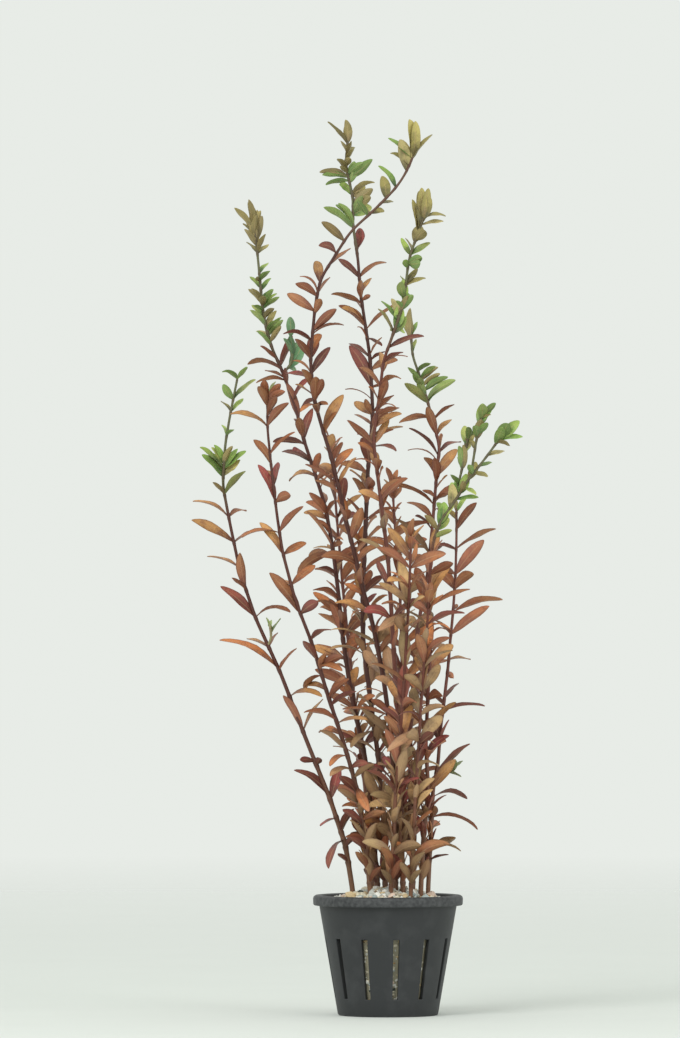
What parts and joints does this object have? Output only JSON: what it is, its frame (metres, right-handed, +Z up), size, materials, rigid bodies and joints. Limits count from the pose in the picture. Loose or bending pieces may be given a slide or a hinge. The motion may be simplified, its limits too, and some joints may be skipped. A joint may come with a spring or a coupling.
{
  "type": "potted stem plant",
  "caption": "Bunch of leafy aquarium stems with brown-red leaves and green tips, rooted in pale gravel in a small slotted pot.",
  "frame": {"origin": "the middle of the pot's flat underside", "axes": "+Z up through the pot and along the plant, -Y towards the viewer of the front"},
  "size_m": [0.1268, 0.1067, 0.358],
  "materials": {
    "pot_plastic": "fine matte moulded plastic, dark charcoal",
    "gravel": "mixed white, cream, tan and dark mineral grains",
    "brown_growth": "thin soft leaves, orange-brown above and maroon below, on dark red-brown stems",
    "green_growth": "young yellow-green leaves on olive stems"
  },
  "bodies": {
    "root": {"pot": "pot_plastic", "gravel": "gravel", "stem_far_left": "brown_growth", "stem_left_front": "brown_growth", "stem_left_tall": "brown_growth", "stem_centre_bent": "brown_growth", "stem_centre_tall": "brown_growth", "stem_right_tall": "brown_growth", "stem_right_back": "brown_growth", "stem_right_forked": "green_growth", "stem_far_right": "brown_growth", "stem_back_centre": "brown_growth", "stem_front_centre": "brown_growth", "stem_back_left": "brown_growth", "stem_front_right": "brown_growth", "side_shoot_far_left": "green_growth", "side_shoot_left_tall": "green_growth", "fork_upper": "green_growth", "fork_inner": "green_growth", "side_shoot_far_right": "green_growth"}
  },
  "joints": []
}
